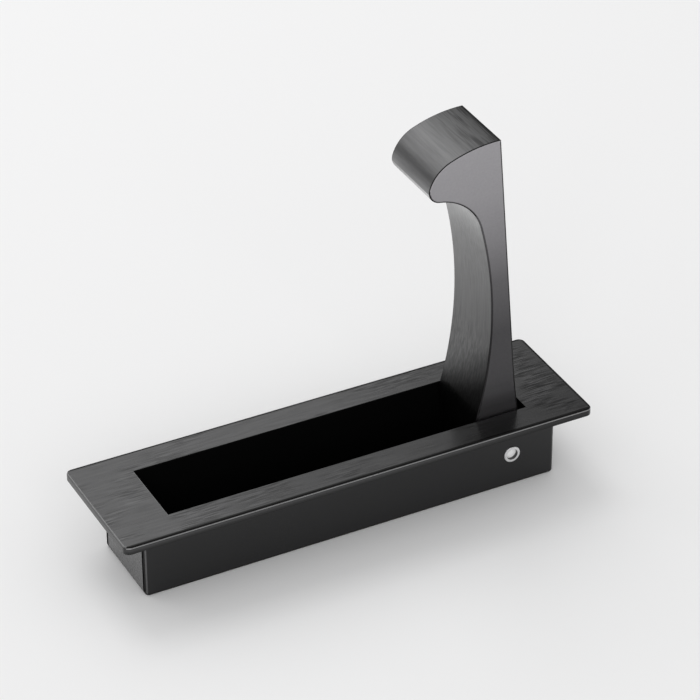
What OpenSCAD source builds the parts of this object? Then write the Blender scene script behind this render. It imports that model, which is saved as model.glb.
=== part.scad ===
// Recessed flip-up cabinet handle.
// A cast housing is let into a door or a drawer front up to its face plate.
// A hooked lever stands open on one pivot rivet and folds down into the housing.
// Millimetres, +Z up. The origin is the middle of the underside of the housing,
// +X runs along the length towards the pivot, +Y runs across the width.

/* [Face plate] */
// Length of the face plate
plate_l = 150; // [146:0.5:170]
// Width of the face plate
plate_w = 42.4; // [36:0.2:60]
// Thickness of the face plate
plate_t = 2.5; // [2:0.1:4]
// Radius of the corners of the face plate, seen from above
plate_corner_r = 2; // [1.5:0.25:6]
// Radius that softens the top edge of the face plate
plate_edge_r = 0.6; // [0.2:0.1:1.2]

/* [Recess] */
// Border of the face plate beyond each end of the slot
end_border = 17.4; // [15:0.1:20]
// Width of the slot
slot_w = 23.6; // [20:0.2:28]
// How far the slot sits towards the pivot end
slot_shift = 0; // [-1:0.1:1]
// Radius at the foot of the recess walls
floor_fillet_r = 0.8; // [0.3:0.1:1.5]

/* [Housing] */
// Whole height, from the underside to the top of the face plate
housing_h = 24.5; // [23.5:0.1:28]
// Thickness of the recess floor
floor_t = 1.1; // [1:0.1:2]
// Thickness of the long side walls
side_wall = 2.45; // [1.5:0.05:4]
// Length of the end block at the tip of the lever
tip_block = 8.75; // [7:0.25:11]
// Length of the end block behind the pivot
pivot_block = 8.75; // [7:0.25:11]
// Wall left round the hollows that are cored into the end blocks from below
core_wall = 2.2; // [1.6:0.1:2.8]
// Radius of the upright corners of the housing
housing_corner_r = 1.3; // [1.2:0.1:3]
// Radius along the bottom edges of the housing
housing_bottom_r = 1; // [0.4:0.1:1.1]

/* [Fixing screws] */
// Distance between the two screw holes in the floor
screw_pitch = 46.8; // [40:0.2:52]
// How far the pair of holes sits away from the middle, towards the tip end
screw_offset = 12; // [8:0.2:12.6]
// Clearance hole for the screw shank
screw_hole_d = 3.8; // [3:0.1:4.5]
// Diameter of the countersink at the top of each boss
screw_head_d = 7.4; // [6:0.1:8]
// Diameter of the screw bosses
boss_d = 9; // [8.6:0.1:10]
// Height of the screw bosses above the floor
boss_h = 3.7; // [2.2:0.1:4.5]

/* [Pivot] */
// Depth of the pivot axis below the top of the face plate
pivot_depth = 13.4; // [12.8:0.1:14]
// Diameter of the rivet shank
rivet_d = 4.6; // [3.5:0.1:5]
// Running clearance round the shank, on the radius
rivet_fit = 0.05; // [0.02:0.01:0.1]
// Overhang of the rolled rim beyond the shank, on the radius
rim_over = 0.3; // [0.2:0.05:0.6]
// Height of the rolled rim
rim_h = 0.35; // [0.2:0.05:0.6]
// Wall of the hollow end of the rivet
rivet_wall = 0.5; // [0.4:0.05:0.8]
// Depth of the hollow in the end of the rivet
rivet_hollow = 1.15; // [0.8:0.05:2]
// Overhang of the rivet head beyond the shank, on the radius
head_over = 1.3; // [0.8:0.1:2]
// Height of the rivet head
head_h = 0.9; // [0.6:0.1:1.5]
// Width of the rings of the friction washers, from the shank outwards
washer_ring = 2.1; // [1.4:0.1:2.2]

/* [Lever] */
// Gap between the lever and each side wall
side_gap = 0.6; // [0.4:0.05:1]
// Play between a friction washer and the lever
washer_play = 0.1; // [0.05:0.05:0.2]
// Lean of the open lever from upright, towards its tip end
lever_lean = 4.45; // [0:0.05:10]
// Finger gap that stays between the closed tip and the end of the slot
tip_gap = 3.4; // [2.8:0.2:8]
// Distance from the pivot axis to the back of the blade
back_d = 3.95; // [3.4:0.05:4.4]
// Thickness of the blade at its waist
waist_t = 6; // [5:0.1:8]
// Radius of the knuckle round the pivot
knuckle_r = 5; // [4.6:0.1:5.4]
// Gap between the knuckle and the end wall of the recess
knuckle_gap = 0.7; // [0.4:0.1:1.5]
// Gap between the foot and the floor while the lever swings
foot_gap = 0.3; // [0.3:0.05:1]
// Height above the pivot at which the back starts to swell into the knuckle
swell_v = 30; // [24:1:45]

/* [Hook] */
// How much less the hook reaches out than the recess is deep
hook_short = 0; // [0:0.1:2]
// Radius of the outer curve over the top of the lever
crown_r = 39.5; // [34:0.5:46]
// Radius of the front of the hook
front_r = 11.2; // [8:0.2:13]
// Radius of the nose
nose_r = 4; // [3:0.1:5]
// Direction from the front curve to the nose, above the horizontal
nose_angle = 22; // [15:0.5:35]
// Thickness of the blade behind the throat, the hollow where the fingertips lie
throat_t = 7.7; // [7:0.05:9]
// Direction from the nose to the middle of the hollow, from straight down
throat_angle = 13; // [10:0.5:18]
// Radius of the long hollow along the front of the blade
waist_r = 127; // [110:1:150]

/* [Hidden] */
$fn = 96;
over = 1;

// Housing planes
slot_l = plate_l - 2 * end_border;
slot_x0 = slot_shift - slot_l / 2;
slot_x1 = slot_shift + slot_l / 2;
body_x0 = slot_x0 - tip_block;
body_x1 = slot_x1 + pivot_block;
body_w = slot_w + 2 * side_wall;
body_top = housing_h - plate_t;

// Pivot place and fits
pin_x = slot_x1 - knuckle_r - knuckle_gap;
pin_z = housing_h - pivot_depth;
bore_d = rivet_d + 2 * rivet_fit;
pin_to_floor = pin_z - floor_t;

// Lever sizes that follow from the recess
lever_w = slot_w - 2 * side_gap;
washer_t = side_gap - washer_play;
lever_l = pin_x - slot_x0 - tip_gap;
foot_front = pin_to_floor - foot_gap;
hook_d = housing_h - floor_t - hook_short;

// Centres of the hook arcs, each arc tangent to the one before but for the lap.
// The first number is the distance in front of the pivot, the second is the height above it.
// The lap lets neighbouring arcs cross cleanly, so that no sliver is left where they meet.
lap = 0.001;
nose_x = hook_d - back_d - nose_r;
front_x = nose_x - (front_r - nose_r + lap) * cos(nose_angle);
crown_angle = asin(front_x / (crown_r - front_r + lap));
crown_c = [0, lever_l - crown_r];
front_c = crown_c + (crown_r - front_r + lap) * [sin(crown_angle), cos(crown_angle)];
nose_c = front_c + (front_r - nose_r + lap) * [cos(nose_angle), sin(nose_angle)];
throat_x = nose_c[0] + (nose_r - lap) * sin(throat_angle);
throat_r = (throat_x + back_d - throat_t) / (1 - sin(throat_angle));
throat_c = nose_c + (nose_r + throat_r - lap) * [sin(throat_angle), -cos(throat_angle)];
waist_x = waist_r + waist_t - back_d;
waist_drop = sqrt(pow(waist_r - throat_r + lap, 2) - pow(waist_x - throat_c[0], 2));
waist_c = [waist_x, throat_c[1] - waist_drop];
waist_dir = atan2(throat_c[1] - waist_c[1], throat_c[0] - waist_c[0]);

// Swell of the back into the knuckle
swell_d = knuckle_r - back_d;
swell_foot = 6;
swell_l = swell_v - swell_foot;
swell_r = (swell_l * swell_l + swell_d * swell_d) / (2 * swell_d);

// A slab with rounded upright corners and a rounded lower edge, standing on z = 0.
module soft_slab(x0, x1, w, h, corner_r, edge_r) {
    l = x1 - x0;
    translate([(x0 + x1) / 2, 0, 0]) {
        soft_bar(l - 2 * corner_r, w, h, edge_r);
        rotate([0, 0, 90])
            soft_bar(w - 2 * corner_r, l, h, edge_r);
        for (sx = [-1, 1], sy = [-1, 1])
            translate([sx * (l / 2 - corner_r), sy * (w / 2 - corner_r), 0])
                rotate_extrude()
                    soft_half(corner_r, h, edge_r);
    }
}

// Straight bar along X whose two lower edges are rounded.
module soft_bar(l, w, h, edge_r) {
    rotate([90, 0, 90])
        linear_extrude(height = l, center = true)
            union() {
                soft_half(w / 2, h, edge_r);
                mirror([1, 0, 0])
                    soft_half(w / 2, h, edge_r);
            }
}

// Half section from the middle out to r, with its lower outer corner rounded.
module soft_half(r, h, edge_r) {
    square([r - edge_r, h]);
    translate([0, edge_r])
        square([r, h - edge_r]);
    intersection() {
        translate([r - edge_r, edge_r])
            circle(edge_r);
        square([r, h]);
    }
}

// The recess, open at the top, with a small radius all round its floor.
module recess() {
    depth = housing_h - floor_t + over;
    intersection() {
        translate([slot_shift, 0, floor_t])
            soft_bar(slot_l, slot_w, depth, floor_fillet_r);
        translate([slot_shift, 0, floor_t])
            rotate([0, 0, 90])
                soft_bar(slot_w, slot_l, depth, floor_fillet_r);
    }
}

// Hollows cored into the end blocks from below, so that all walls are alike.
module end_cores() {
    core_w = body_w - 2 * core_wall;
    core_top = housing_h - core_wall;
    for (end = [[body_x0 + core_wall, slot_x0 - core_wall], [slot_x1 + core_wall, body_x1 - core_wall]])
        translate([end[0], -core_w / 2, -over])
            cube([end[1] - end[0], core_w, core_top + over]);
}

// Screw hole with a countersink for a flat head, through a boss on the floor.
module screw_cut() {
    top = floor_t + boss_h;
    sink = (screw_head_d - screw_hole_d) / 2;
    translate([0, 0, -over])
        cylinder(d = screw_hole_d, h = top + 2 * over);
    translate([0, 0, top - sink])
        cylinder(d1 = screw_hole_d, d2 = screw_head_d, h = sink);
    translate([0, 0, top])
        cylinder(d = screw_head_d, h = over);
}

// Places its children at both screw holes.
module at_screws() {
    for (side = [-1, 1])
        translate([side * screw_pitch / 2 - screw_offset, 0, 0])
            children();
}

// Turns a shape that lies along Z to lie along Y, at the pivot.
module at_pivot() {
    translate([pin_x, 0, pin_z])
        rotate([-90, 0, 0])
            children();
}

// The one-piece casting: face plate, box, screw bosses and pivot holes.
module housing() {
    color([0.13, 0.13, 0.14])
        difference() {
            union() {
                difference() {
                    union() {
                        translate([0, 0, housing_h])
                            mirror([0, 0, 1])
                                soft_slab(-plate_l / 2, plate_l / 2, plate_w, plate_t, plate_corner_r, plate_edge_r);
                        soft_slab(body_x0, body_x1, body_w, body_top + plate_t / 2, housing_corner_r, housing_bottom_r);
                    }
                    recess();
                }
                at_screws()
                    translate([0, 0, floor_t / 2])
                        cylinder(d = boss_d, h = floor_t / 2 + boss_h);
            }
            at_screws()
                screw_cut();
            end_cores();
            at_pivot()
                cylinder(d = bore_d, h = body_w + 2 * over, center = true);
        }
}

// Outline of the lever, pivot at the origin, front towards +X.
module lever_outline() {
    difference() {
        union() {
            translate([-back_d, 0])
                square([back_d + foot_front, throat_c[1]]);
            translate([-back_d, throat_c[1] - over])
                square([hook_d, nose_c[1] - throat_c[1]]);
            crown();
            translate(front_c)
                circle(front_r);
            foot();
        }
        translate(throat_c)
            circle(throat_r);
        waist_hollow();
        nose_cut();
    }
}

// The part of the top under the crown arc, from the back to the front arc.
module crown() {
    reach = 2 * crown_r;
    intersection() {
        translate(crown_c)
            circle(crown_r, $fn = 192);
        polygon([
            [-back_d, crown_c[1]],
            crown_c,
            crown_c + reach * [sin(crown_angle), cos(crown_angle)],
            [-back_d, crown_c[1] + reach]
        ]);
    }
}

// The long hollow below the throat, cut off where it meets the throat arc.
module waist_hollow() {
    intersection() {
        translate(waist_c)
            circle(waist_r, $fn = 360);
        translate(waist_c)
            rotate(waist_dir)
                square([2 * waist_r, waist_r]);
    }
}

// Everything outside the nose arc, between the front arc and the throat arc.
module nose_cut() {
    reach = 3 * front_r;
    difference() {
        translate(nose_c)
            polygon([
                [0, 0],
                reach * [cos(nose_angle), sin(nose_angle)],
                reach * [1, -1],
                reach * [sin(throat_angle), -cos(throat_angle)]
            ]);
        translate(nose_c)
            circle(nose_r);
    }
}

// The foot round the pivot, and the swell of the back that leads into it.
module foot() {
    translate([-knuckle_r, 0])
        square([knuckle_r + foot_front, swell_foot - over]);
    translate([0, -knuckle_r])
        square([foot_front - knuckle_r, knuckle_r + over]);
    circle(knuckle_r);
    translate([foot_front - knuckle_r, 0])
        circle(knuckle_r);
    difference() {
        translate([-knuckle_r, over])
            square([knuckle_r, swell_v - over]);
        translate([-back_d - swell_r + lap, swell_v])
            circle(swell_r, $fn = 360);
    }
}

// The hooked lever, standing open.
module lever() {
    color([0.2, 0.2, 0.21])
        difference() {
            translate([pin_x, 0, pin_z])
                rotate([0, -lever_lean, 0])
                    rotate([90, 0, 0])
                        linear_extrude(height = lever_w, center = true)
                            mirror([1, 0, 0])
                                lever_outline();
            at_pivot()
                cylinder(d = bore_d, h = slot_w, center = true);
        }
}

// Rivet through both walls: flat head at the rear, hollow end with a rolled rim in front.
module pivot_rivet() {
    half = body_w / 2;
    shank_r = rivet_d / 2;
    rim_r = shank_r + rim_over;
    head_r = shank_r + head_over;
    soft = rim_h / 2;
    color([0.75, 0.75, 0.77])
        at_pivot()
            difference() {
                rotate_extrude() {
                    translate([0, -half - rim_h])
                        square([shank_r, body_w + rim_h + head_h / 2]);
                    translate([0, -half - soft])
                        square([rim_r, soft]);
                    translate([rim_r - soft, -half - soft])
                        circle(soft);
                    translate([0, -half - rim_h])
                        square([rim_r - soft, rim_h]);
                    translate([0, half])
                        square([head_r, head_h / 2]);
                    intersection() {
                        translate([head_r - head_h / 2, half + head_h / 2])
                            circle(head_h / 2);
                        translate([0, half])
                            square([head_r, head_h]);
                    }
                    translate([0, half])
                        square([head_r - head_h / 2, head_h]);
                }
                translate([0, 0, -half - rim_h - over])
                    cylinder(r = shank_r - rivet_wall, h = rivet_hollow + over);
            }
}

// Friction washer against one side wall.
module washer(side) {
    color([0.3, 0.3, 0.3])
        translate([pin_x, side * (slot_w / 2 - washer_t / 2), pin_z])
            rotate([90, 0, 0])
                difference() {
                    cylinder(d = rivet_d + 2 * washer_ring, h = washer_t, center = true);
                    cylinder(d = bore_d, h = washer_t + 2 * over, center = true);
                }
}

module washer_front() {
    washer(-1);
}

module washer_rear() {
    washer(1);
}

housing();
lever();
pivot_rivet();
washer_front();
washer_rear();
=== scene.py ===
# %% [markdown]
# # A recessed flip-up cabinet handle
#
# This file dresses a handle that was already built as exact solids. The handle is a
# shallow metal box with a face plate, let into a door, and a hooked lever that stands
# up out of it on one rivet. The solids give every size. Here each part gets its broken
# edges, its brushed or satin finish, and a quiet studio to stand in.

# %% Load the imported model
import math

import bpy
from mathutils import Matrix, Vector


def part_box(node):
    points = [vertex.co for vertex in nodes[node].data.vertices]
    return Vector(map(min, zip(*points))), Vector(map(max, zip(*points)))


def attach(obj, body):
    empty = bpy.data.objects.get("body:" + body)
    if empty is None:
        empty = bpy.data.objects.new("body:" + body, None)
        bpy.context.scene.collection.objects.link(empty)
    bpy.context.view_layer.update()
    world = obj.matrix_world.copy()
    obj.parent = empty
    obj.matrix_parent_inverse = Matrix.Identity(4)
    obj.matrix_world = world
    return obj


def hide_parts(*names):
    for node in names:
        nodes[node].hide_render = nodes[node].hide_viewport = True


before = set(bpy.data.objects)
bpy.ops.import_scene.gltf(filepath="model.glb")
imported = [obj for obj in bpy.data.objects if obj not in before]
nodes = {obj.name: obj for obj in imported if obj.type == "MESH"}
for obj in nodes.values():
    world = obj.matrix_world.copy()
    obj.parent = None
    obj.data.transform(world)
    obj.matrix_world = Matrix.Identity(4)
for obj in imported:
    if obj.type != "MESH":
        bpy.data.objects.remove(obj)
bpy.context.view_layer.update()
print("nodes:", sorted(nodes))

# %% [markdown]
# ## The camera
#
# The photograph was taken from the front left, about a third of the way up from level.
# Its straight edges were used to work out where the camera stood: just over a metre
# away with a long lens, so that lines stay nearly parallel. A camera is aimed here by
# its three axes, because that also holds the very small roll of the picture.

# %% Place the camera
VIEW_AZIMUTH = math.radians(-27.149)
VIEW_HEIGHT = math.radians(33.4504)
VIEW_ROLL = math.radians(-0.2447)
VIEW_DISTANCE = 1.03209
AIM = Vector((0.025905, 0.038655, 0.0245))
SENSOR_MM = 36.0
PICTURE_PIXELS = 700
FOCAL_PIXELS = 3435.79
LENS_MM = FOCAL_PIXELS / PICTURE_PIXELS * SENSOR_MM
HALF_PIXEL = 0.5 * VIEW_DISTANCE / FOCAL_PIXELS

back = Vector((math.sin(VIEW_AZIMUTH) * math.cos(VIEW_HEIGHT),
               -math.cos(VIEW_AZIMUTH) * math.cos(VIEW_HEIGHT),
               math.sin(VIEW_HEIGHT)))
level_right = (-back).cross(Vector((0, 0, 1))).normalized()
level_up = level_right.cross(-back)
right = math.cos(VIEW_ROLL) * level_right + math.sin(VIEW_ROLL) * level_up
up = math.cos(VIEW_ROLL) * level_up - math.sin(VIEW_ROLL) * level_right

bpy.ops.object.camera_add()
camera = bpy.context.object
camera.name = "camera"
camera.data.sensor_width = SENSOR_MM
camera.data.lens = LENS_MM
stand = AIM + VIEW_DISTANCE * back + HALF_PIXEL * (up - right)
camera.matrix_world = Matrix.Translation(stand) @ Matrix(
    (right, up, back)).transposed().to_4x4()
bpy.context.scene.camera = camera
print("camera stands at", [round(v, 4) for v in camera.matrix_world.translation])

# %% [markdown]
# ## Working on a copy of a casting
#
# The solids arrive as loose triangles with knife-sharp edges, and an edge can only be
# rounded where the faces beside it are joined. The solid itself stays as it is, because
# the moving model needs it. So each casting is copied, the copy is merged into one
# skin, and its flat faces are made whole again.

# %% A merged copy of a CAD node
MERGE_GAP = 2e-6
FLAT_WITHIN = math.radians(0.4)


def only(piece):
    """Select one object and nothing else."""
    bpy.ops.object.select_all(action="DESELECT")
    piece.select_set(True)
    bpy.context.view_layer.objects.active = piece


def merged_copy(node_name, new_name):
    """Copy a node, weld its loose triangles and join the flat ones."""
    source = nodes[node_name]
    piece = bpy.data.objects.new(new_name, source.data.copy())
    bpy.context.scene.collection.objects.link(piece)
    piece.data.name = new_name
    piece.data.materials.clear()
    only(piece)
    bpy.ops.mesh.customdata_custom_splitnormals_clear()
    bpy.ops.object.mode_set(mode="EDIT")
    bpy.ops.mesh.select_all(action="SELECT")
    bpy.ops.mesh.remove_doubles(threshold=MERGE_GAP)
    bpy.ops.mesh.dissolve_limited(angle_limit=FLAT_WITHIN)
    bpy.ops.object.mode_set(mode="OBJECT")
    print(new_name, "has", len(piece.data.polygons), "faces after merging")
    return piece


lever = merged_copy("lever", "lever_cast")
housing = merged_copy("housing", "housing_cast")
rivet = merged_copy("pivot_rivet", "rivet_polished")

# %% [markdown]
# ## Rounding an edge
#
# Castings are tumbled and polished before they are plated, so every outer edge is a
# little round, and that thin round line is what catches the light. A Bevel modifier
# rounds all sharp edges at once and can give the new faces a finish of their own.
# Smooth shading then hides the steps of a curve, and Weighted Normal keeps the wide
# flat faces looking flat beside it.

# %% Helpers that round and shade a piece
EDGE_ANGLE = math.radians(30)
SMOOTH_WITHIN = math.radians(28)


def empty_slots(piece, count):
    """Make room for the finishes that the piece is given later."""
    for _ in range(count):
        piece.data.materials.append(None)


def bevel_edges(piece, width, segments, material_index):
    """Round every edge sharper than EDGE_ANGLE, and apply the modifier."""
    only(piece)
    bpy.ops.object.modifier_add(type="BEVEL")
    bevel = piece.modifiers[-1]
    bevel.width = width
    bevel.segments = segments
    bevel.limit_method = "ANGLE"
    bevel.angle_limit = EDGE_ANGLE
    bevel.use_clamp_overlap = False
    bevel.material = material_index
    bpy.ops.object.modifier_apply(modifier=bevel.name)
    print(piece.name, "has", len(piece.data.polygons), "faces after bevelling")


def soft_shading(piece):
    """Smooth the curves, and keep the flat faces looking flat."""
    only(piece)
    bpy.ops.object.shade_smooth_by_angle(angle=SMOOTH_WITHIN)
    bpy.ops.object.modifier_add(type="WEIGHTED_NORMAL")
    piece.modifiers[-1].keep_sharp = True
    bpy.ops.object.modifier_apply(modifier=piece.modifiers[-1].name)
    print(piece.name, "is shaded, with", len(piece.data.polygons), "faces")


# %% [markdown]
# ## The lever's edges
#
# A thin dark line of painted shade runs round both sides of the lever. The bevel makes
# the round. The line needs a narrow strip of faces on the flat side too, and an inset
# cuts one that follows the whole outline at one width.

# %% Round the lever's edges
LEVER_EDGE = 0.0003
LEVER_EDGE_STEPS = 3
SIDE_BORDER = 0.0002
BORDER_AREA = 2e-5
SQUARE_ON = 0.999
SIDE, BLADE, HOOK, EDGE, EDGE_PALE, EDGE_SHADE = range(6)


def border_sides(piece, width):
    """Cut a narrow border all round the faces that look to either side."""
    only(piece)
    bpy.ops.object.mode_set(mode="EDIT")
    bpy.ops.mesh.select_mode(type="FACE")
    bpy.ops.mesh.select_all(action="DESELECT")
    bpy.ops.object.mode_set(mode="OBJECT")
    for face in piece.data.polygons:
        face.select = abs(face.normal.y) > SQUARE_ON
    bpy.ops.object.mode_set(mode="EDIT")
    bpy.ops.mesh.inset(thickness=width, use_boundary=True, use_even_offset=True)
    bpy.ops.object.mode_set(mode="OBJECT")
    narrow = [face for face in piece.data.polygons
              if abs(face.normal.y) > SQUARE_ON and face.area < BORDER_AREA]
    print(piece.name, "has", len(narrow), "border faces")


empty_slots(lever, EDGE_SHADE + 1)
bevel_edges(lever, LEVER_EDGE, LEVER_EDGE_STEPS, EDGE)
border_sides(lever, SIDE_BORDER)
soft_shading(lever)

# %% [markdown]
# ## The housing's edges
#
# The box and its face plate are crisper than the lever: their edges are broken by less
# than 0.2 mm, which shows as a hair-thin line. The bigger rounds, on the rim of the
# plate and at the corners of the box, are in the solid already. So a small bevel of
# two steps is enough.

# %% Round the housing's edges
HOUSING_EDGE = 0.00018
HOUSING_EDGE_STEPS = 2
BOX, PLATE, RECESS, DARK, BRIGHT, END, CORNER, PALE, RIM_SIDE = range(9)

empty_slots(housing, RIM_SIDE + 1)
bevel_edges(housing, HOUSING_EDGE, HOUSING_EDGE_STEPS, BRIGHT)
soft_shading(housing)

# %% [markdown]
# ## The rivet
#
# The lever turns on a rivet with a hollow end, which was rolled outwards over the wall
# of the box. The roll is already round in the solid, so no bevel is added, and smooth
# shading alone makes it look turned.

# %% Smooth the rivet
RING, HOLLOW_WALL, DISH = range(3)

empty_slots(rivet, DISH + 1)
soft_shading(rivet)

# %% [markdown]
# ## Finishes
#
# Both castings are plated black. The face plate and the lever's curved faces are then
# brushed, which leaves fine parallel streaks that are lighter than the plating. Noise
# stretched a long way in one direction gives such streaks: it is laid out on Object
# coordinates, so it stays on the piece when the lever swings.

# %% Helpers that lay out a pattern
def new_material(name):
    """An empty node material with a Principled shader."""
    material = bpy.data.materials.new(name)
    material.use_nodes = True
    tree = material.node_tree
    shader = tree.nodes["Principled BSDF"]
    return material, tree, shader


def stretched_noise(tree, scale, detail, rough=0.6, wobble=0.0):
    """Noise on Object coordinates, with its own scale along each axis."""
    place = tree.nodes.new("ShaderNodeTexCoord")
    mapping = tree.nodes.new("ShaderNodeMapping")
    mapping.inputs["Scale"].default_value = scale
    noise = tree.nodes.new("ShaderNodeTexNoise")
    noise.inputs["Distortion"].default_value = wobble
    noise.inputs["Scale"].default_value = 1.0
    noise.inputs["Detail"].default_value = detail
    noise.inputs["Roughness"].default_value = rough
    tree.links.new(place.outputs["Object"], mapping.inputs["Vector"])
    tree.links.new(mapping.outputs["Vector"], noise.inputs["Vector"])
    return noise.outputs["Fac"]


def ramp(tree, source, low, high, dark, light):
    """Map source from low..high to the grey levels dark..light."""
    change = tree.nodes.new("ShaderNodeMapRange")
    change.inputs["From Min"].default_value = low
    change.inputs["From Max"].default_value = high
    change.inputs["To Min"].default_value = dark
    change.inputs["To Max"].default_value = light
    tree.links.new(source, change.inputs["Value"])
    return change.outputs["Result"]


def along(tree, axis):
    """The distance along one axis of the piece, in metres."""
    place = tree.nodes.new("ShaderNodeTexCoord")
    split = tree.nodes.new("ShaderNodeSeparateXYZ")
    tree.links.new(place.outputs["Object"], split.inputs["Vector"])
    return split.outputs[axis]


# %% [markdown]
# ## Sums with patterns
#
# A finish changes from place to place: a blade gets a painted reflection that brightens
# it near its hook, and marks lie only where the wheel was set down. Painting such changes
# by hand would need a picture on the piece. Here they are worked out from distances with
# Math and colour ramp nodes, so they are as sharp as the render asks for.

# %% Helpers that work out a shade
def figure(tree, operation, first, second):
    """A Math node: each side is a socket or a number."""
    node = tree.nodes.new("ShaderNodeMath")
    node.operation = operation
    for socket, value in zip(node.inputs, (first, second)):
        if isinstance(value, (int, float)):
            socket.default_value = value
        else:
            tree.links.new(value, socket)
    return node.outputs["Value"]


def only_where(tree, change, mask):
    """1 where mask is 0, and 1 plus change where mask is 1."""
    return figure(tree, "ADD", figure(tree, "MULTIPLY", change, mask), 1.0)


def profile(tree, source, stops):
    """A grey value that follows stops, a list of (place in metres, value up to 1)."""
    low, high = stops[0][0], stops[-1][0]
    curve = tree.nodes.new("ShaderNodeValToRGB")
    curve.color_ramp.interpolation = "LINEAR"
    marks = curve.color_ramp.elements
    while len(marks) < len(stops):
        marks.new(0.5)
    for mark, (place, value) in zip(marks, stops):
        mark.position = (place - low) / (high - low)
        mark.color = (value, value, value, 1)
    tree.links.new(ramp(tree, source, low, high, 0, 1), curve.inputs["Fac"])
    return curve.outputs["Color"]


def beyond(tree, axis, start, width, value):
    """1 up to start on both sides of the middle, and value from start plus width on."""
    away = figure(tree, "ABSOLUTE", along(tree, axis), 0.0)
    return ramp(tree, away, start, start + width, 1.0, value)


# %% [markdown]
# ## From a pattern to a finish
#
# One pattern serves a finish three times: it varies the colour, it varies how rough the
# metal is, and it raises a relief of a few thousandths of a millimetre. Real brushing
# does all three at once, which is why the three agree here.

# %% Helpers that use a pattern
NOISE_LOW = 0.3
NOISE_HIGH = 0.7


def shade_of(tree, pattern, contrast, extra):
    """A grey value near 1 that follows the pattern, times each change in extra."""
    shade = ramp(tree, pattern, NOISE_LOW, NOISE_HIGH, 1 - contrast, 1 + contrast)
    for change in extra:
        shade = figure(tree, "MULTIPLY", shade, change(tree))
    return shade


def tint(tree, shader, value, colour):
    """Multiply a colour by a grey value and use it as the base colour."""
    mix = tree.nodes.new("ShaderNodeMix")
    mix.data_type = "RGBA"
    mix.blend_type = "MULTIPLY"
    mix.inputs["Factor"].default_value = 1.0
    mix.inputs["A"].default_value = (*colour, 1)
    tree.links.new(value, mix.inputs["B"])
    tree.links.new(mix.outputs["Result"], shader.inputs["Base Color"])


def add_roughness(tree, shader, pattern, roughness, spread):
    """Roughness that is lower where the pattern is high, as on polished ridges."""
    changing = ramp(tree, pattern, NOISE_LOW, NOISE_HIGH, roughness + spread,
                    roughness - spread)
    tree.links.new(changing, shader.inputs["Roughness"])


def add_bump(tree, shader, height, distance):
    """Turn a height pattern into a small relief."""
    bump = tree.nodes.new("ShaderNodeBump")
    bump.inputs["Distance"].default_value = distance
    tree.links.new(height, bump.inputs["Height"])
    tree.links.new(bump.outputs["Normal"], shader.inputs["Normal"])


# %% [markdown]
# ## Brushed metal and satin plating
#
# All finishes on the handle are of two kinds. Brushed metal has streaks from a wire
# wheel, with a finer set between them. Satin plating is smooth, with only a faint even
# grain. Each kind is one function, so that every part of the handle is finished alike
# and only its colour, gloss and marks differ.

# %% Two kinds of finish
FINER = 2.2
BRUSHED_RELIEF = 4e-6
BRUSHED_SPREAD = 0.05
SATIN_SPREAD = 0.03


def brushed(name, colour, scale, contrast, roughness, metallic=1.0, extra=()):
    """Dark metal with streaks that run along the axis of the smallest scale.

    Each function in extra takes the tree and gives a value that the shade is
    multiplied by.
    """
    material, tree, shader = new_material(name)
    shader.inputs["Metallic"].default_value = metallic
    wide = stretched_noise(tree, scale, detail=5.0, rough=0.65)
    tint(tree, shader, shade_of(tree, wide, contrast, extra), colour)
    add_roughness(tree, shader, wide, roughness, BRUSHED_SPREAD)
    fine = stretched_noise(tree, tuple(FINER * s for s in scale), detail=3.0)
    add_bump(tree, shader, fine, BRUSHED_RELIEF)
    print(name, "has", len(tree.nodes), "nodes")
    return material


def satin(name, colour, roughness, metallic=0.0, grain=1500, relief=1.5e-6,
          contrast=0.06, specular=0.5, extra=()):
    """Smooth plating with only a faint grain, and the same extra as brushed."""
    material, tree, shader = new_material(name)
    shader.inputs["Metallic"].default_value = metallic
    shader.inputs["Specular IOR Level"].default_value = specular
    even = stretched_noise(tree, (grain,) * 3, detail=2.0)
    tint(tree, shader, shade_of(tree, even, contrast, extra), colour)
    add_roughness(tree, shader, even, roughness, SATIN_SPREAD)
    add_bump(tree, shader, even, relief)
    print(name, "has", len(tree.nodes), "nodes")
    return material


# %% [markdown]
# ## The face plate
#
# The plate is brushed along its length. A narrow dark line along its rim is painted
# shade, the front strip is painted a little darker as a painted reflection, and at the
# pivot end the marks are stronger and wavier. The streaks alone would look machine-made,
# so these changes are multiplied over them.

# %% Finish of the face plate
PLATE_HALF_L = 0.075
PLATE_HALF_W = 0.0212
PLATE_EDGE = 0.0006
END_LINE = 0.00045
SIDE_LINE = 0.00055
LINE_FADE = 0.0002
STRONG_FROM_X = 0.040
STRONG_AT_X = 0.058


def plate_painted_dark_line(tree):
    """Painted shade: a narrow darker line along the rim, but not at the tip end."""
    start = PLATE_HALF_L - PLATE_EDGE - END_LINE
    end = ramp(tree, along(tree, "X"), start, start + LINE_FADE, 1.0, 0.25)
    sides = beyond(tree, "Y", PLATE_HALF_W - PLATE_EDGE - SIDE_LINE, LINE_FADE, 0.2)
    return figure(tree, "MINIMUM", end, sides)


def brush_marks(tree):
    """Groups of longer, darker and wavier marks, where the wheel was set down."""
    marks = stretched_noise(tree, (130, 2200, 2200), detail=1.0, wobble=0.9)
    marks = ramp(tree, marks, 0.40, 0.62, 0.60, 1.22)
    groups = stretched_noise(tree, (55, 140, 140), detail=1.0)
    groups = ramp(tree, groups, 0.45, 0.60, 0.0, 1.0)
    change = figure(tree, "SUBTRACT", marks, 1.0)
    stronger = ramp(tree, along(tree, "X"), STRONG_FROM_X, STRONG_AT_X, 1.0, 1.5)
    change = figure(tree, "MULTIPLY", change, stronger)
    return only_where(tree, change, groups)


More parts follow.
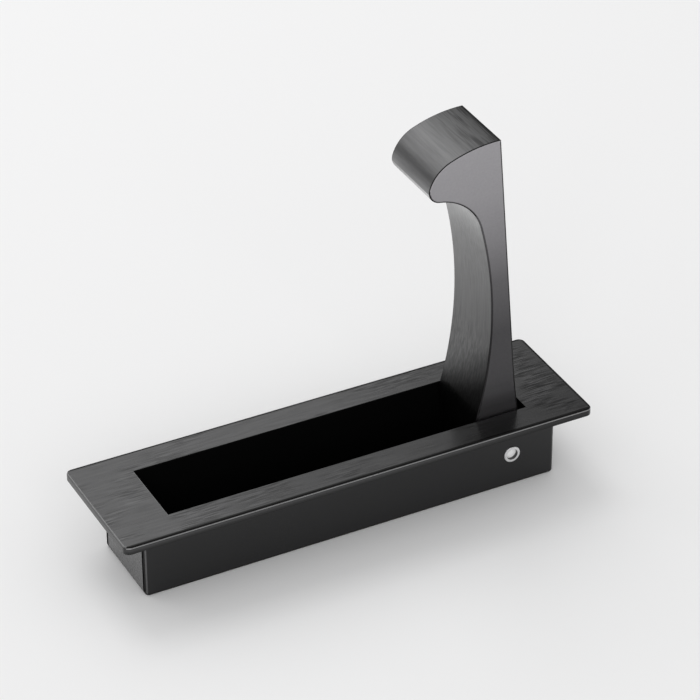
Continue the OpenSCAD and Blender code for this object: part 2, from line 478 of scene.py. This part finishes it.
def near_strip_painted_reflection(tree):
    """Painted reflection: the front strip darkens a little from the middle to the pivot
    end.
    """
    here = ramp(tree, along(tree, "X"), -0.060, -0.020, 0.0, 0.28)
    front = ramp(tree, along(tree, "Y"), 0.0, -0.012, 0.0, 1.0)
    return figure(tree, "SUBTRACT", 1.0, figure(tree, "MULTIPLY", here, front))


def pivot_end(tree):
    """The plate is a little lighter at the pivot end, where the marks are stronger."""
    return ramp(tree, along(tree, "X"), STRONG_FROM_X, STRONG_AT_X, 1.0, 1.13)


plate_brushed = brushed("plate_brushed", (0.096, 0.096, 0.097), (70, 1800, 1800), 0.16,
                        0.24, metallic=0.90,
                        extra=(plate_painted_dark_line, brush_marks, near_strip_painted_reflection, pivot_end))

# %% [markdown]
# ## The box and the recess
#
# Below the plate the casting is not brushed. The long walls of the box are smooth and
# nearly black, and the recess is painted darker still, as painted shade. The two ends
# are painted grey, as a painted reflection, with a painted dark line along each upright
# side. That line is dark and dull at once, so it changes the colour and the shine.

# %% Finishes of the box
BOX_CORNER_AT = 0.01295
BOX_LINE = 0.0010
PLAIN_SPECULAR = 0.5


def end_painted_dark_line(tree):
    """A painted dark line, painted shade, down both upright sides of an end of the box."""
    return beyond(tree, "Y", BOX_CORNER_AT - BOX_LINE, LINE_FADE, 0.0)


box_satin = satin("box_satin", (0.006, 0.006, 0.0065), 0.22, specular=0.43)
# The recess is painted darker than the box's own black, as painted shade.
recess_painted_shade = satin("recess_painted_shade", (0.0012, 0.0012, 0.0012), 0.5, specular=0.2)
# Painted reflection: the ends are grey, with a painted dark line down each upright side.
box_end_painted_reflection = satin("box_end_painted_reflection", (0.090, 0.090, 0.091), 0.26, grain=450, contrast=0.02,
                extra=(end_painted_dark_line,))
end_tree = box_end_painted_reflection.node_tree
end_shader = end_tree.nodes["Principled BSDF"]
end_shine = figure(end_tree, "MULTIPLY", end_painted_dark_line(end_tree), PLAIN_SPECULAR)
end_tree.links.new(end_shine, end_shader.inputs["Specular IOR Level"])

# %% [markdown]
# ## The long sides of the plate
#
# The plate is 2.5 mm thick. Its long sides get a painted highlight just below the
# rounded rim, and painted shade towards the pivot end. The change runs over one
# millimetre, so it is drawn as a curve over the height.

# %% Finish of the plate's long sides
def side_painted_highlight(tree):
    """Painted highlight: the long sides of the plate are lighter just below the rim."""
    return profile(tree, along(tree, "Z"), [
        (0.0220, 0.14), (0.0225, 0.22), (0.0231, 0.60), (0.0235, 1.0), (0.0239, 0.35)])


def side_painted_shade(tree):
    """Painted shade: they are darker towards the pivot end."""
    return ramp(tree, along(tree, "X"), 0.030, 0.060, 1.0, 0.35)


# Painted highlight below the rim and painted shade at the pivot end of the plate's sides.
rim_side_painted_sheen = satin("rim_side_painted_sheen", (0.045, 0.045, 0.046), 0.22, specular=0.3,
                 extra=(side_painted_highlight, side_painted_shade))

# %% [markdown]
# ## The blade of the lever
#
# The long hollow of the blade is brushed up and down. Painted shade makes it dark at its
# foot, down in the box, and a painted reflection makes it brighter up to the throat under
# the hook. The near side of the throat gets a painted highlight, brightest of all.

# %% Finish of the blade
LEVER_HALF_W = 0.0112
FAR_SIDE_LEAD = 0.65


def lever_painted_dark_line(tree):
    """Painted shade: a dark line along both long edges of the lever."""
    return beyond(tree, "Y", LEVER_HALF_W - LEVER_EDGE - LINE_FADE, LINE_FADE, 0.45)


def blade_painted_reflection(tree):
    """Painted reflection: brighter towards the hook, more on the far side; painted shade at
    the foot.
    """
    lead = figure(tree, "MULTIPLY", along(tree, "Y"), FAR_SIDE_LEAD)
    return profile(tree, figure(tree, "ADD", along(tree, "Z"), lead), [
        (0.027, 0.13), (0.0308, 0.215), (0.0372, 0.246), (0.0394, 0.275),
        (0.0415, 0.315), (0.0437, 0.321), (0.0495, 0.322), (0.0553, 0.333),
        (0.061, 0.368), (0.0668, 0.395), (0.0783, 0.461), (0.0827, 0.512),
        (0.087, 0.626), (0.089, 0.70), (0.091, 0.80), (0.0975, 0.95)])


def throat_painted_highlight(tree):
    """Painted highlight: up in the throat the near side is brighter than the far side."""
    near = ramp(tree, along(tree, "Y"), 0.010, -0.008, -0.08, 0.5)
    high = ramp(tree, along(tree, "Z"), 0.080, 0.091, 0.0, 1.0)
    return only_where(tree, near, high)


def blade_marks(tree):
    """Short strokes up the foot of the blade, where the wheel was lifted off."""
    marks = stretched_noise(tree, (1700, 1700, 280), detail=1.0)
    marks = ramp(tree, marks, 0.38, 0.62, -0.17, 0.18)
    here = ramp(tree, along(tree, "Z"), 0.056, 0.044, 0.0, 1.0)
    return only_where(tree, marks, here)


blade_brushed = brushed("blade_brushed", (0.40, 0.40, 0.402), (1800, 1800, 70), 0.10,
                        0.36, extra=(lever_painted_dark_line, blade_painted_reflection, throat_painted_highlight, blade_marks))

# %% [markdown]
# ## The top of the hook
#
# The hook was brushed across, from side to side, so its streaks run the other way. Its
# back edge is painted darker, as painted shade, and there the marks are strongest. Both
# changes follow the distance along the handle, so the same two helpers draw them.

# %% Finish of the hook
def hook_painted_shade(tree):
    """Painted shade: the top of the hook is darker towards its back edge."""
    return profile(tree, along(tree, "X"), [
        (0.025, 1.0), (0.0275, 0.97), (0.0335, 0.70), (0.0387, 0.52), (0.0443, 0.47),
        (0.0465, 0.42), (0.0470, 0.10)])


def hook_marks(tree):
    """Dark marks across the top of the hook, strongest at the back."""
    marks = stretched_noise(tree, (1500, 90, 200), detail=2.0, wobble=0.3)
    marks = ramp(tree, marks, 0.36, 0.58, 0.40, 1.14)
    here = ramp(tree, along(tree, "X"), 0.036, 0.045, 0.12, 1.0)
    return only_where(tree, figure(tree, "SUBTRACT", marks, 1.0), here)


hook_brushed = brushed("hook_brushed", (0.20, 0.20, 0.202), (1800, 70, 1800), 0.08,
                       0.34, extra=(lever_painted_dark_line, hook_painted_shade, hook_marks))

# %% [markdown]
# ## The sides of the lever
#
# The flat sides are satin, with no streaks, and like the blade they get a painted
# reflection that brightens them towards the hook. The narrow border and the steps of the
# rounded edge share that change, as painted shade in a darker colour and a painted
# highlight in a paler one, so that the line round each side keeps its contrast all the
# way up.

# %% Finishes of the lever's sides
def sides_painted_reflection(tree):
    """Painted reflection: the sides are brighter towards the hook too."""
    return profile(tree, along(tree, "Z"), [
        (0.0232, 1.0), (0.0256, 0.72), (0.0279, 0.434), (0.0303, 0.29),
        (0.0344, 0.215), (0.053, 0.215), (0.0659, 0.335), (0.0705, 0.37),
        (0.0853, 0.668), (0.1008, 0.90), (0.117, 1.0)])


# The sides get a painted reflection, brighter towards the hook.
lever_satin = satin("lever_satin", (0.378, 0.369, 0.384), 0.38, metallic=1.0,
                    relief=5e-7, contrast=0.025, extra=(sides_painted_reflection,))
# A darker copy for the border and the edge steps: painted shade.
lever_painted_shade = satin("lever_painted_shade", (0.15, 0.147, 0.152), 0.38, metallic=1.0,
                    extra=(sides_painted_reflection,))
# A paler copy for the upper edge of the hook: painted highlight.
edge_pale_painted_highlight = satin("edge_pale_painted_highlight", (0.42, 0.41, 0.425), 0.4, metallic=1.0,
                  extra=(sides_painted_reflection,))

# %% [markdown]
# ## Small parts and edges
#
# Edges get a painted dark line, as painted shade, or a thin painted highlight, and the
# upright corners of the box and the tip end of the rim get grey painted highlights. The
# rivet is bright steel: the wall of its hollow end is painted in shade, and the flat end
# of the hollow is painted white, as a painted highlight. The two washers between lever
# and box are dark plastic.

# %% Finishes of edges, rivet and washers
# Painted shade: the dark lines along edges.
edge_painted_shade = satin("edge_painted_shade", (0.006, 0.006, 0.006), 0.45, specular=0.12)
# Painted highlight: the thin bright lines along edges.
edge_painted_highlight = satin("edge_painted_highlight", (0.31, 0.31, 0.313), 0.34, metallic=1.0)
# Painted highlight: the grey band on the box's upright corners.
corner_painted_highlight = satin("corner_painted_highlight", (0.135, 0.135, 0.137), 0.34, metallic=1.0)
# Painted highlight: the pale band on the rim at the tip end.
rim_painted_highlight = satin("rim_painted_highlight", (0.29, 0.29, 0.292), 0.34, metallic=1.0)
rivet_bright = satin("rivet_bright", (0.82, 0.82, 0.827), 0.3, metallic=1.0,
                     relief=5e-7)
# Painted shade on the wall of the rivet's hollow end.
rivet_painted_shade = satin("rivet_painted_shade", (0.12, 0.12, 0.12), 0.5, metallic=1.0)
# Painted highlight: the flat end of the hollow, white all over.
rivet_dish_painted_highlight = satin("rivet_dish_painted_highlight", (1.0, 1.0, 1.0), 0.4, relief=5e-7, contrast=0.0)
washer_plastic = satin("washer_plastic", (0.03, 0.03, 0.03), 0.5)

# %% [markdown]
# ## Which face of the lever gets which finish
#
# One casting carries several finishes, painted shade and painted highlights among them,
# so faces are chosen by where they are and which way they look. The lever stands a
# little short of upright, so places on its outline are measured along the lever, from
# its pivot.

# %% Share the finishes out over the lever
LEVER_FINISHES = (lever_satin, blade_brushed, hook_brushed, edge_painted_shade, edge_pale_painted_highlight,
                  lever_painted_shade)
LEAN = math.radians(4.45)
BACK_D = 0.00395
NOSE_UP = 0.0962
HOOK_FROM_Z = 0.1045
BLADE_EDGE_TO_Z = 0.094
FLAT_SIDE = 0.9
NEXT_TO_SIDE = 0.80
SLANT = 0.2
LOOKS_UP = 0.05
LOOKS_BACK = 0.1

rivet_low, rivet_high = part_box("pivot_rivet")
AXIS_X = (rivet_low.x + rivet_high.x) / 2
AXIS_Z = (rivet_low.z + rivet_high.z) / 2


def border_finish(x, z):
    """Painted highlight along the top of the hook, painted shade along every other edge of
    a side.
    """
    right_of, above = x - AXIS_X, z - AXIS_Z
    forward = -right_of * math.cos(LEAN) - above * math.sin(LEAN)
    upward = -right_of * math.sin(LEAN) + above * math.cos(LEAN)
    at_back = forward < LEVER_EDGE + 2 * SIDE_BORDER - BACK_D
    return EDGE_PALE if upward > NOSE_UP and not at_back else EDGE_SHADE


def lever_finish(face):
    """The finish of one face of the lever, from its place and its normal."""
    sideways = abs(face.normal.y)
    # Edge steps get painted shade, or a painted highlight where they face up beside a side.
    if face.material_index == EDGE:
        if face.normal.x < -SLANT and face.center.z < BLADE_EDGE_TO_Z:
            return EDGE_SHADE
        lit = face.normal.z > LOOKS_UP and face.normal.x < LOOKS_BACK
        return EDGE_PALE if lit and sideways > NEXT_TO_SIDE else EDGE
    if sideways > FLAT_SIDE:
        narrow = face.area < BORDER_AREA
        return border_finish(face.center.x, face.center.z) if narrow else SIDE
    on_hook = face.center.z > HOOK_FROM_Z and face.normal.z > -SLANT
    return HOOK if on_hook else BLADE


def share_out(piece, finishes, choose_finish):
    """Put the finishes in the piece's slots, and choose one for every face."""
    for slot, material in enumerate(finishes):
        piece.data.materials[slot] = material
    counts = [0] * len(finishes)
    for face in piece.data.polygons:
        face.material_index = choose_finish(face)
        counts[face.material_index] += 1
    print(piece.name, "faces by finish:", counts)


share_out(lever, LEVER_FINISHES, lever_finish)

# %% [markdown]
# ## The rim of the plate and the corners of the box
#
# Both are quarter rounds of several steps. The angle that a step is turned by says how
# far round it lies, so a list of angles sets where a painted dark line ends and a painted
# highlight begins. The front and back of the rim get painted shade and then a painted
# highlight, while the tip end gets only a pale painted highlight.

# %% Finishes round a curve
def band(angle, *bands):
    """The finish of the first band whose upper limit, in degrees, is above the angle."""
    for limit, finish in bands:
        if math.degrees(angle) < limit:
            return finish
    return BOX


def rim_finish(normal):
    """The plate's rim: painted shade then a painted highlight, only a pale one at the tip
    end.
    """
    tilt = math.acos(min(1.0, normal.z))
    if normal.x < -abs(normal.y):
        return band(tilt, (24, PLATE), (66, PALE))
    if normal.x > abs(normal.y):
        return band(tilt, (60, DARK))
    return band(tilt, (59, DARK), (86, BRIGHT))


def corner_finish(endways):
    """An upright corner of the box: painted shade beside its end, then a grey painted
    highlight.
    """
    return band(math.acos(min(1.0, endways)), (33, DARK), (60, CORNER))


HALF_ROUND = Vector((0, -1, 1)).normalized()
print("halfway round the front of the rim, the finish is number", rim_finish(HALF_ROUND))

# %% [markdown]
# ## Which face of the housing gets which finish
#
# The same way of choosing works for the housing. The tests run from the plate down:
# top of the plate, slot and recess, rim, lower edges, long sides, and last the ends of
# the box. Whatever is left is wall. The edge of the slot gets a painted highlight at the
# tip end, where the hook comes down.

# %% Share the finishes out over the housing
HOUSING_FINISHES = (box_satin, plate_brushed, recess_painted_shade, edge_painted_shade, edge_painted_highlight,
                    box_end_painted_reflection, corner_painted_highlight, rim_painted_highlight, rim_side_painted_sheen)
PLATE_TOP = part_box("housing")[1].z
PLATE_THICK = 0.0025
PLATE_UNDER = PLATE_TOP - PLATE_THICK
SLOT_HALF_L = 0.0578
SLOT_HALF_W = 0.0119
SLOT_MARGIN = 0.0002
FLOOR_UNDER = 0.0008
BOX_HALF_L = 0.06635
END_ROUND = 0.0014
FOOT_TO_Z = 0.001
HAIR = 1e-5
LEVEL = 0.02
TURNED = 0.1
BROADSIDE = 0.5
UNDER_PLATE = -0.9
UNDER_BOX = -0.95


def housing_finish(face):
    """The finish of one face of the housing, from its place and its normal."""
    x, y, z = face.center
    upward = face.normal.z
    endways = abs(face.normal.x)
    if upward > SQUARE_ON and abs(z - PLATE_TOP) < HAIR:
        return PLATE
    in_slot = abs(x) < SLOT_HALF_L + SLOT_MARGIN and abs(y) < SLOT_HALF_W + SLOT_MARGIN
    if in_slot and z > FLOOR_UNDER:
        # Painted highlight on the edge of the slot at the tip end.
        painted_glint = z > PLATE_TOP - 2 * HOUSING_EDGE and x < 0 and endways > TURNED
        return BRIGHT if painted_glint else RECESS
    if z > PLATE_TOP - PLATE_EDGE - HAIR and upward > LEVEL:
        return rim_finish(face.normal)
    # Painted shade on the edges under the plate and along the foot of the box.
    near_under = abs(z - PLATE_UNDER) < HOUSING_EDGE
    if near_under and abs(upward) > TURNED and upward > UNDER_PLATE:
        return DARK
    if z < FOOT_TO_Z and UNDER_BOX < upward < -TURNED:
        return DARK
    if z > PLATE_UNDER and abs(face.normal.y) > BROADSIDE:
        return RIM_SIDE
    if abs(upward) < LEVEL and z < PLATE_UNDER and abs(x) > BOX_HALF_L - END_ROUND:
        if endways > SQUARE_ON:
            return END
        if endways > LEVEL:
            return corner_finish(endways)
    return BOX


share_out(housing, HOUSING_FINISHES, housing_finish)

# %% [markdown]
# ## The rivet's hollow end, and the washers
#
# The hollow end is found by its distance from the pivot's axis and by its depth, and
# its wall and flat end are told apart by which way they look. The washers are simple
# rings that the solids already show well, so they stay as they are and each gets one
# finish all over.

# %% Share the finishes out over rivet and washers
RIVET_FINISHES = (rivet_bright, rivet_painted_shade, rivet_dish_painted_highlight)
HOLLOW_MOUTH = 0.0019
HOLLOW_FROM_Y = -0.012


def rivet_finish(face):
    """The finish of one face of the rivet."""
    across = math.hypot(face.center.x - AXIS_X, face.center.z - AXIS_Z)
    if across < HOLLOW_MOUTH and rivet_low.y + HAIR < face.center.y < HOLLOW_FROM_Y:
        # The wall gets painted shade and the flat end a painted highlight.
        return HOLLOW_WALL if abs(face.normal.y) < FLAT_SIDE else DISH
    return RING


def give(piece, material):
    """Give a CAD node one finish all over."""
    piece.data.materials.clear()
    piece.data.materials.append(material)
    print(piece.name, "gets", material.name)


share_out(rivet, RIVET_FINISHES, rivet_finish)
give(nodes["washer_front"], washer_plastic)
give(nodes["washer_rear"], washer_plastic)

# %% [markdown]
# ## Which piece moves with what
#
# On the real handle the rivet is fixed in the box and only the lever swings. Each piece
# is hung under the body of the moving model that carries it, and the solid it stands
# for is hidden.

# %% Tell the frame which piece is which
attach(lever, "lever_body")
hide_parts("lever")
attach(housing, "housing_body")
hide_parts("housing")
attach(rivet, "housing_body")
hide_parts("pivot_rivet")
print("lever_body carries", lever.name, "and housing_body", housing.name, "and", rivet.name)

# %% [markdown]
# ## The studio floor
#
# The object stands on a pale floor without an edge in sight. A backdrop could be bent
# up behind it, but a floor of twelve metres and a background of a matching grey meet
# without a line that shows, and they keep every other view just as plain.

# %% Floor
FLOOR_HALF = 6.0
FLOOR_GREY = (0.86, 0.86, 0.862, 1)
FLOOR_ROUGHNESS = 0.9

bpy.ops.object.select_all(action="DESELECT")
bpy.ops.mesh.primitive_plane_add(size=2 * FLOOR_HALF, location=(0, 0, 0))
floor = bpy.context.object
floor.name = "floor"
floor_material, _, floor_shader = new_material("floor_pale")
floor_shader.inputs["Base Color"].default_value = FLOOR_GREY
floor_shader.inputs["Roughness"].default_value = FLOOR_ROUGHNESS
floor_shader.inputs["Specular IOR Level"].default_value = 0.0
floor.data.materials.append(floor_material)
print("the floor is", 2 * FLOOR_HALF, "m across")

# %% [markdown]
# ## Light from all sides
#
# Rays that light the object find an even pale room. Reflections find the same room
# dimmer, because a product studio is dark away from its lamps, and the camera finds the
# backdrop. A Light Path node tells the three kinds of ray apart, so each gets the level
# it needs from one world.

# %% World
ROOM_LIGHT = 0.68
ROOM_IN_REFLECTIONS = 0.30
BACKDROP = 0.87

world = bpy.data.worlds.new("studio")
bpy.context.scene.world = world
world.use_nodes = True
room = world.node_tree
room_shader = room.nodes["Background"]
room_shader.inputs["Color"].default_value = (1, 1, 1, 1)
path = room.nodes.new("ShaderNodeLightPath")


def choose(tree, switch, off, on):
    """A number that is off, or on where the switch is 1."""
    pick = tree.nodes.new("ShaderNodeMix")
    tree.links.new(switch, pick.inputs["Factor"])
    for socket, value in (("A", off), ("B", on)):
        if isinstance(value, float):
            pick.inputs[socket].default_value = value
        else:
            tree.links.new(value, pick.inputs[socket])
    return pick.outputs["Result"]


level = choose(room, path.outputs["Is Glossy Ray"], ROOM_LIGHT, ROOM_IN_REFLECTIONS)
level = choose(room, path.outputs["Is Camera Ray"], level, BACKDROP)
room.links.new(level, room_shader.inputs["Strength"])
print("the room lights at", ROOM_LIGHT, "and the backdrop shows at", BACKDROP)

# %% [markdown]
# ## Four soft lamps
#
# The room alone would leave the metal flat. A wide lamp behind lights the hollow of the
# blade and throws the shadow gently forward. A small one above it shines in the top of
# the plate and the hook. One on the camera's side lifts the walls that face us, and a
# weak one on the left rounds the hook. Large lamps give soft edges to all of it.

# %% Lamps
def soft_lamp(name, place, target, width, height, brightness):
    """A rectangular area lamp that faces target. Brightness 1 looks white."""
    bpy.ops.object.light_add(type="AREA", location=place)
    lamp = bpy.context.object
    lamp.name = name
    lamp.data.shape = "RECTANGLE"
    lamp.data.size = width
    lamp.data.size_y = height
    lamp.data.energy = brightness * math.pi * width * height
    aim = Vector(target) - Vector(place)
    lamp.rotation_euler = aim.to_track_quat("-Z", "Y").to_euler()
    print(name, "gives", round(lamp.data.energy, 2), "W")


soft_lamp("lamp_behind", (-0.24, 1.12, 0.98), (0, 0, 0.05), 2.0, 0.9, brightness=0.9)
soft_lamp("lamp_above", (0, 0.75, 1.329), (0, 0, 0.03), 0.6, 0.6, brightness=2.4)
soft_lamp("lamp_camera_side", (-0.889, -2.441, 1.53), (0, 0, 0.03), 2.4, 1.2,
          brightness=2.2)
soft_lamp("lamp_left", (-1.99, -1.149, 1.958), (0, 0, 0.03), 1.8, 1.8, brightness=0.4)

bpy.context.scene.view_settings.view_transform = "Standard"
